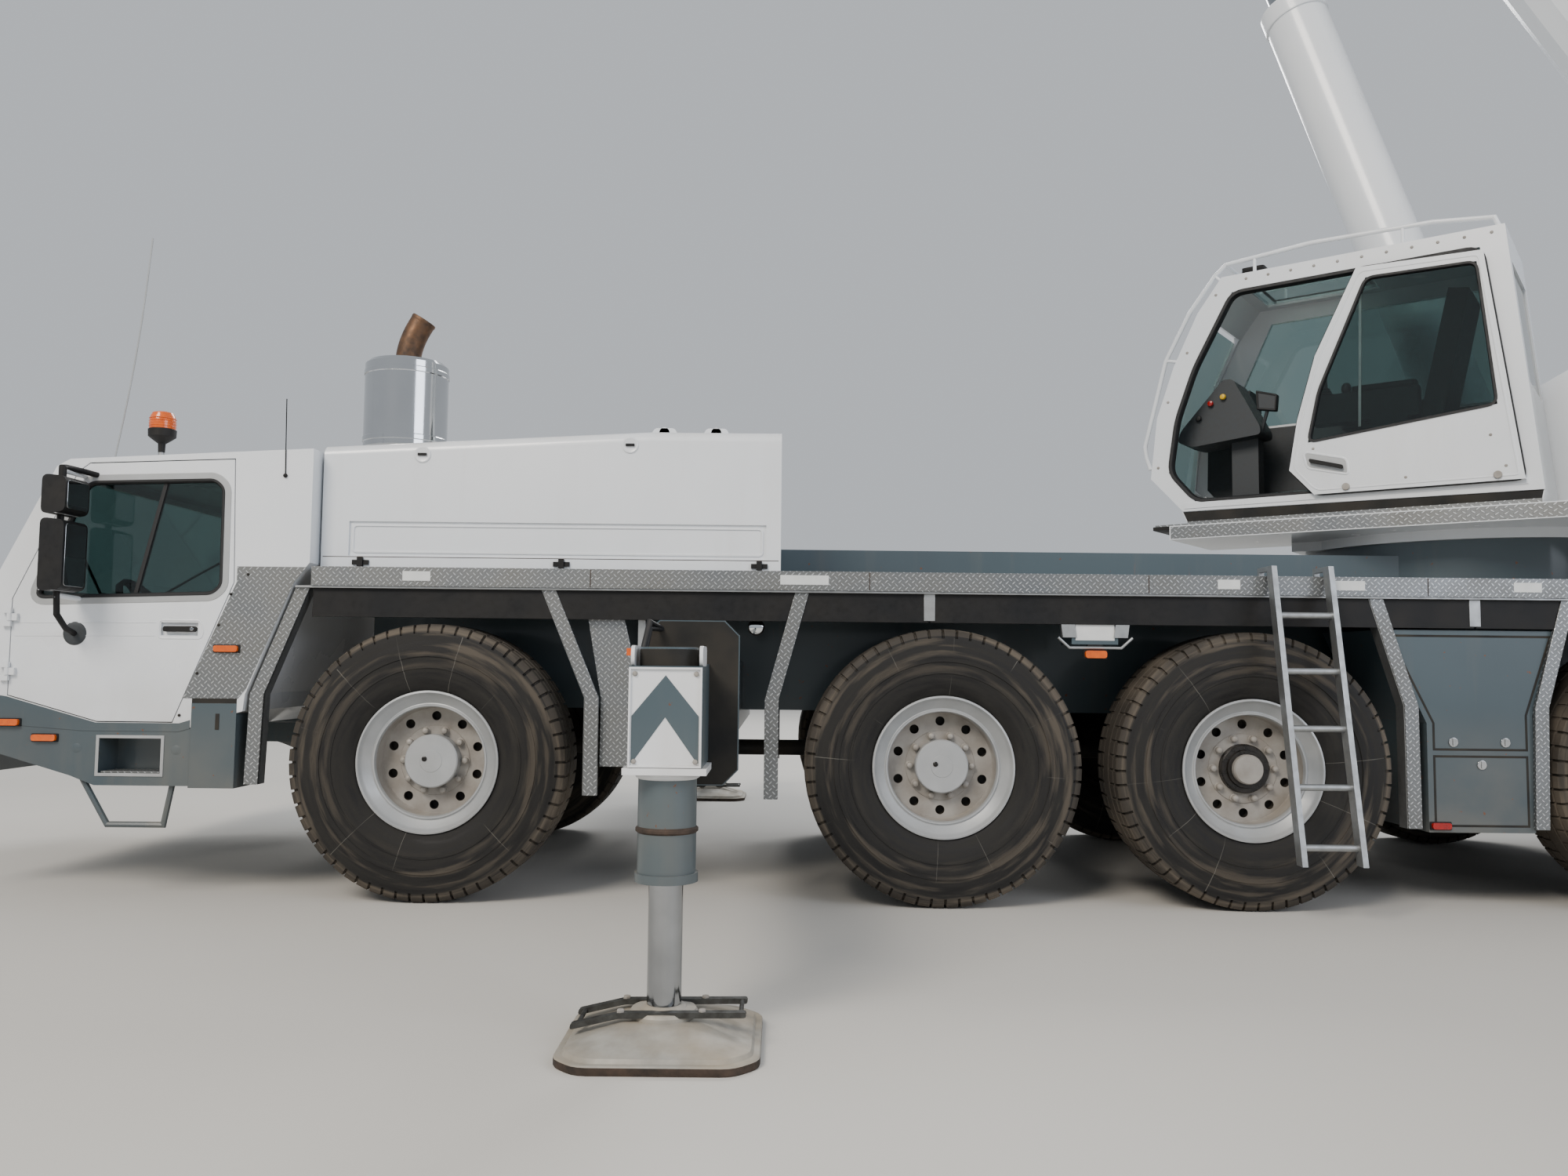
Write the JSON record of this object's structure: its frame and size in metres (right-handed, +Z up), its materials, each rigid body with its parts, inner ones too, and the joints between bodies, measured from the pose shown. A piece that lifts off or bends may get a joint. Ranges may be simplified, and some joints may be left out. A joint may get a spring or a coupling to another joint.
{
  "type": "mobile crane",
  "caption": "All-terrain mobile crane with hinged cab doors, steered wheels, sliding outriggers, slewing upper structure and a luffing telescopic boom.",
  "frame": {"origin": "on the floor under the middle of the overall box", "axes": "the carrier faces -X, its left side is -Y, +Z is up"},
  "size_m": [13, 8.06, 15.4726],
  "materials": {
    "glass": "clear",
    "tyre": "dusty",
    "axle_black": "satin",
    "chrome": "polished",
    "float_steel": "worn",
    "blue_grey": "gloss",
    "white": "gloss",
    "chequer": "chequered",
    "aluminium": "satin",
    "black_plastic": "matt",
    "stainless": "polished",
    "iron": "rough",
    "trim": "grained",
    "amber": "clear",
    "drum_steel": "oily",
    "hook_yellow": "worn"
  },
  "bodies": {
    "carrier": {"chassis_frame": "blue_grey", "axle_beams": "axle_black", "outrigger_boxes": "blue_grey", "deck_plates": "chequer", "mudguards": "black_plastic", "side_boxes": "blue_grey", "carrier_cab": "white", "carrier_cab_glass": "glass", "carrier_cab_interior": "trim", "front_bumper": "blue_grey", "engine_cover": "white", "engine_block": "iron", "exhaust_stack": "stainless", "roof_fittings": "amber", "ladder": "aluminium"},
    "door_left": {"door_left": "white", "door_left_glass": "glass"},
    "door_right": {"door_right": "white", "door_right_glass": "glass"},
    "wheel_1_left": {"wheel_1_left": "tyre"},
    "knuckle_1_left": {"knuckle_1_left": "axle_black"},
    "wheel_1_right": {"wheel_1_right": "tyre"},
    "knuckle_1_right": {"knuckle_1_right": "axle_black"},
    "wheel_2_left": {"wheel_2_left": "tyre"},
    "knuckle_2_left": {"knuckle_2_left": "axle_black"},
    "wheel_2_right": {"wheel_2_right": "tyre"},
    "knuckle_2_right": {"knuckle_2_right": "axle_black"},
    "wheel_3_left": {"wheel_3_left": "tyre"},
    "wheel_3_right": {"wheel_3_right": "tyre"},
    "wheel_4_left": {"wheel_4_left": "tyre"},
    "knuckle_4_left": {"knuckle_4_left": "axle_black"},
    "wheel_4_right": {"wheel_4_right": "tyre"},
    "knuckle_4_right": {"knuckle_4_right": "axle_black"},
    "wheel_5_left": {"wheel_5_left": "tyre"},
    "knuckle_5_left": {"knuckle_5_left": "axle_black"},
    "wheel_5_right": {"wheel_5_right": "tyre"},
    "knuckle_5_right": {"knuckle_5_right": "axle_black"},
    "beam_front_left": {"beam_front_left": "blue_grey"},
    "jack_front_left": {"jack_front_left": "float_steel"},
    "beam_front_right": {"beam_front_right": "blue_grey"},
    "jack_front_right": {"jack_front_right": "float_steel"},
    "beam_rear_left": {"beam_rear_left": "blue_grey"},
    "jack_rear_left": {"jack_rear_left": "float_steel"},
    "beam_rear_right": {"beam_rear_right": "blue_grey"},
    "jack_rear_right": {"jack_rear_right": "float_steel"},
    "superstructure": {"superstructure_frame": "white", "counterweight": "white", "crane_cab": "white", "crane_cab_glass": "glass", "crane_cab_interior": "trim"},
    "crane_cab_door": {"crane_cab_door": "white", "crane_cab_door_glass": "glass"},
    "winch_drum": {"winch_drum": "drum_steel"},
    "boom_base": {"boom_base": "white"},
    "lift_barrel": {"lift_barrel": "white"},
    "lift_rod": {"lift_rod": "chrome"},
    "boom_inner_1": {"boom_inner_1": "white"},
    "boom_inner_2": {"boom_inner_2": "white"},
    "boom_inner_3": {"boom_inner_3": "white"},
    "hook_block": {"hook_block": "hook_yellow"}
  },
  "joints": [
    {"name": "door_left_hinge", "type": "hinge", "parent": "carrier", "child": "door_left", "pos_m": [-6.043, -1.455, 1.6], "axis": [0, 0, -1], "range_deg": [0, 70]},
    {"name": "door_right_hinge", "type": "hinge", "parent": "carrier", "child": "door_right", "pos_m": [-6.043, 1.455, 1.6], "axis": [0, 0, 1], "range_deg": [0, 70]},
    {"name": "steer_1_left", "type": "hinge", "parent": "carrier", "child": "knuckle_1_left", "pos_m": [-3.79, -1.13, 0.74], "axis": [0, 0, 1], "range_deg": [-35, 35]},
    {"name": "roll_1_left", "type": "hinge", "parent": "knuckle_1_left", "child": "wheel_1_left", "pos_m": [-3.79, -1.265, 0.74], "axis": [0, 1, 0], "continuous": true},
    {"name": "steer_1_right", "type": "hinge", "parent": "carrier", "child": "knuckle_1_right", "pos_m": [-3.79, 1.13, 0.74], "axis": [0, 0, 1], "range_deg": [-35, 35]},
    {"name": "roll_1_right", "type": "hinge", "parent": "knuckle_1_right", "child": "wheel_1_right", "pos_m": [-3.79, 1.265, 0.74], "axis": [0, 1, 0], "continuous": true},
    {"name": "steer_2_left", "type": "hinge", "parent": "carrier", "child": "knuckle_2_left", "pos_m": [-1.04, -1.13, 0.74], "axis": [0, 0, 1], "range_deg": [-25.2, 25.2]},
    {"name": "roll_2_left", "type": "hinge", "parent": "knuckle_2_left", "child": "wheel_2_left", "pos_m": [-1.04, -1.265, 0.74], "axis": [0, 1, 0], "continuous": true},
    {"name": "steer_2_right", "type": "hinge", "parent": "carrier", "child": "knuckle_2_right", "pos_m": [-1.04, 1.13, 0.74], "axis": [0, 0, 1], "range_deg": [-25.2, 25.2]},
    {"name": "roll_2_right", "type": "hinge", "parent": "knuckle_2_right", "child": "wheel_2_right", "pos_m": [-1.04, 1.265, 0.74], "axis": [0, 1, 0], "continuous": true},
    {"name": "roll_3_left", "type": "hinge", "parent": "carrier", "child": "wheel_3_left", "pos_m": [0.61, -1.265, 0.74], "axis": [0, 1, 0], "continuous": true},
    {"name": "roll_3_right", "type": "hinge", "parent": "carrier", "child": "wheel_3_right", "pos_m": [0.61, 1.265, 0.74], "axis": [0, 1, 0], "continuous": true},
    {"name": "steer_4_left", "type": "hinge", "parent": "carrier", "child": "knuckle_4_left", "pos_m": [2.96, -1.13, 0.74], "axis": [0, 0, 1], "range_deg": [-12.6, 12.6]},
    {"name": "roll_4_left", "type": "hinge", "parent": "knuckle_4_left", "child": "wheel_4_left", "pos_m": [2.96, -1.265, 0.74], "axis": [0, 1, 0], "continuous": true},
    {"name": "steer_4_right", "type": "hinge", "parent": "carrier", "child": "knuckle_4_right", "pos_m": [2.96, 1.13, 0.74], "axis": [0, 0, 1], "range_deg": [-12.6, 12.6]},
    {"name": "roll_4_right", "type": "hinge", "parent": "knuckle_4_right", "child": "wheel_4_right", "pos_m": [2.96, 1.265, 0.74], "axis": [0, 1, 0], "continuous": true},
    {"name": "steer_5_left", "type": "hinge", "parent": "carrier", "child": "knuckle_5_left", "pos_m": [4.61, -1.13, 0.74], "axis": [0, 0, 1], "range_deg": [-23.8, 23.8]},
    {"name": "roll_5_left", "type": "hinge", "parent": "knuckle_5_left", "child": "wheel_5_left", "pos_m": [4.61, -1.265, 0.74], "axis": [0, 1, 0], "continuous": true},
    {"name": "steer_5_right", "type": "hinge", "parent": "carrier", "child": "knuckle_5_right", "pos_m": [4.61, 1.13, 0.74], "axis": [0, 0, 1], "range_deg": [-23.8, 23.8]},
    {"name": "roll_5_right", "type": "hinge", "parent": "knuckle_5_right", "child": "wheel_5_right", "pos_m": [4.61, 1.265, 0.74], "axis": [0, 1, 0], "continuous": true},
    {"name": "extend_front_left", "type": "slide", "parent": "carrier", "child": "beam_front_left", "axis": [0, -1, 0], "range_m": [-2.15, 0]},
    {"name": "jack_front_left_lift", "type": "slide", "parent": "beam_front_left", "child": "jack_front_left", "axis": [0, 0, 1], "range_m": [0, 0.4]},
    {"name": "extend_front_right", "type": "slide", "parent": "carrier", "child": "beam_front_right", "axis": [0, 1, 0], "range_m": [-2.15, 0]},
    {"name": "jack_front_right_lift", "type": "slide", "parent": "beam_front_right", "child": "jack_front_right", "axis": [0, 0, 1], "range_m": [0, 0.4]},
    {"name": "extend_rear_left", "type": "slide", "parent": "carrier", "child": "beam_rear_left", "axis": [0, -1, 0], "range_m": [-2.15, 0]},
    {"name": "jack_rear_left_lift", "type": "slide", "parent": "beam_rear_left", "child": "jack_rear_left", "axis": [0, 0, 1], "range_m": [0, 0.4]},
    {"name": "extend_rear_right", "type": "slide", "parent": "carrier", "child": "beam_rear_right", "axis": [0, 1, 0], "range_m": [-2.15, 0]},
    {"name": "jack_rear_right_lift", "type": "slide", "parent": "beam_rear_right", "child": "jack_rear_right", "axis": [0, 0, 1], "range_m": [0, 0.4]},
    {"name": "slew", "type": "hinge", "parent": "carrier", "child": "superstructure", "pos_m": [2.6, 0, 2.06], "axis": [0, 0, 1], "continuous": true},
    {"name": "cab_door_slide", "type": "slide", "parent": "superstructure", "child": "crane_cab_door", "axis": [-0.788, 0.6157, 0], "range_m": [0, 0.75]},
    {"name": "winch_turn", "type": "hinge", "parent": "superstructure", "child": "winch_drum", "pos_m": [4.68035, -1.62535, 2.62], "axis": [0.6157, 0.788, 0], "continuous": true},
    {"name": "boom_luff", "type": "hinge", "parent": "superstructure", "child": "boom_base", "pos_m": [4.17602, -1.23132, 3.4], "axis": [0.6157, 0.788, 0], "range_deg": [-63.5, 18]},
    {"name": "lift_barrel_pivot", "type": "hinge", "parent": "superstructure", "child": "lift_barrel", "pos_m": [2.77336, -0.13545, 2.28], "axis": [0.6157, 0.788, 0], "range_deg": [-69.58, 20.44]},
    {"name": "lift_rod_slide", "type": "slide", "parent": "lift_barrel", "child": "lift_rod", "axis": [-0.2395, 0.1871, 0.9527], "range_m": [-2.0825, 0.5975]},
    {"name": "extend_inner_1", "type": "slide", "parent": "boom_base", "child": "boom_inner_1", "axis": [-0.3516, 0.2747, 0.8949], "range_m": [0, 9]},
    {"name": "extend_inner_2", "type": "slide", "parent": "boom_inner_1", "child": "boom_inner_2", "axis": [-0.3516, 0.2747, 0.8949], "range_m": [0, 9]},
    {"name": "extend_inner_3", "type": "slide", "parent": "boom_inner_2", "child": "boom_inner_3", "axis": [-0.3516, 0.2747, 0.8949], "range_m": [0, 9]},
    {"name": "hook_hang", "type": "hinge", "parent": "boom_inner_3", "child": "hook_block", "pos_m": [-0.86717, 2.70885, 14.98116], "axis": [0.6157, 0.788, 0], "range_deg": [-19, 64.5]}
  ],
  "couplings": [
    {"joint": "steer_1_right", "follows": "steer_1_left", "ratio": 1},
    {"joint": "steer_2_left", "follows": "steer_1_left", "ratio": 0.72},
    {"joint": "steer_2_right", "follows": "steer_1_left", "ratio": 0.72},
    {"joint": "steer_4_left", "follows": "steer_1_left", "ratio": -0.36},
    {"joint": "steer_4_right", "follows": "steer_1_left", "ratio": -0.36},
    {"joint": "steer_5_left", "follows": "steer_1_left", "ratio": -0.68},
    {"joint": "steer_5_right", "follows": "steer_1_left", "ratio": -0.68},
    {"joint": "lift_barrel_pivot", "follows": "boom_luff", "ratio": 1.08},
    {"joint": "lift_rod_slide", "follows": "boom_luff", "m_per_rad": 1.87},
    {"joint": "extend_inner_2", "follows": "extend_inner_1", "ratio": 1},
    {"joint": "extend_inner_3", "follows": "extend_inner_1", "ratio": 1},
    {"joint": "hook_hang", "follows": "boom_luff", "ratio": -1}
  ]
}
